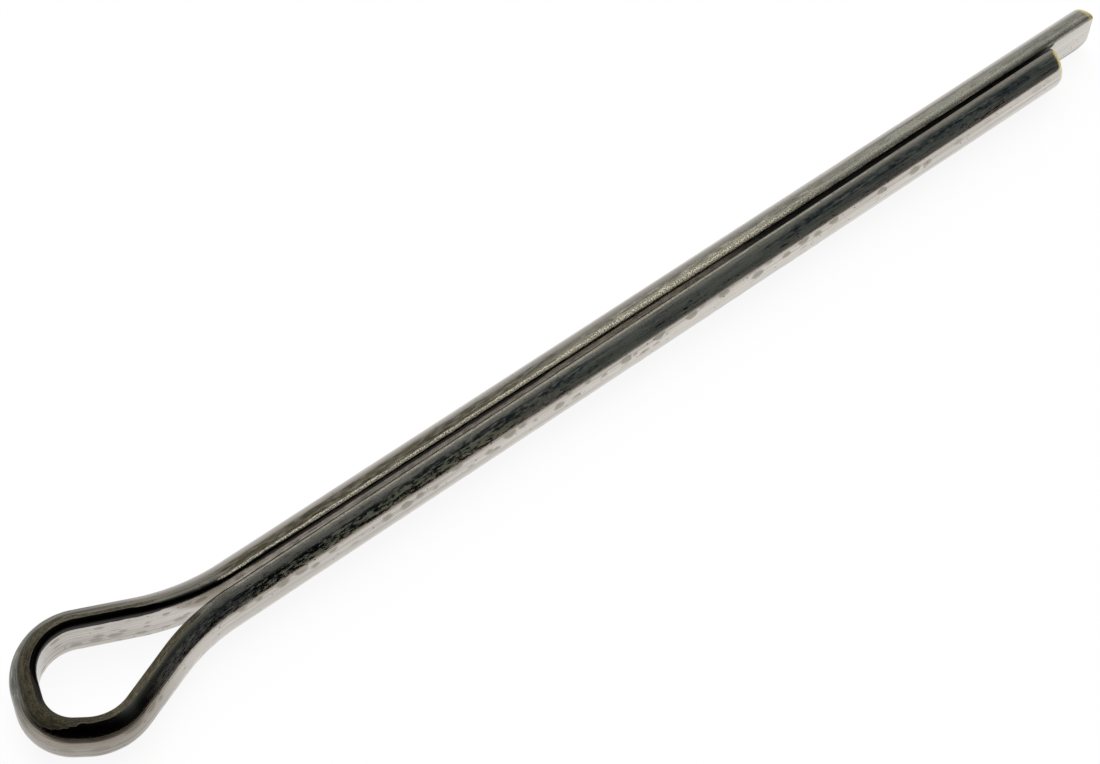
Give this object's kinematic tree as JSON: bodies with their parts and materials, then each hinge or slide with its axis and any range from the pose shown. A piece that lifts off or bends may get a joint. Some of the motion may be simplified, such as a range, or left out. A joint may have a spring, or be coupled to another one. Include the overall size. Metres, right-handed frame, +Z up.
{
  "type": "cotter pin",
  "caption": "Split pin folded from half-round steel wire: a teardrop eye, and flat-faced legs that lie side by side as a round shank, one reaching past the other.",
  "frame": {"origin": "on the shank's axis, at the section where the long leg's straight part starts", "axes": "+X along the shank from the eye to the tips, +Y across the legs towards the long leg, +Z up with the pin lying on its side"},
  "size_m": [0.0868, 0.0096, 0.0036],
  "materials": {
    "steel": "bright drawn wire with fine lengthwise die lines, small pits and faint grey stains"
  },
  "bodies": {
    "root": {"cotter_pin": "steel"}
  },
  "joints": []
}
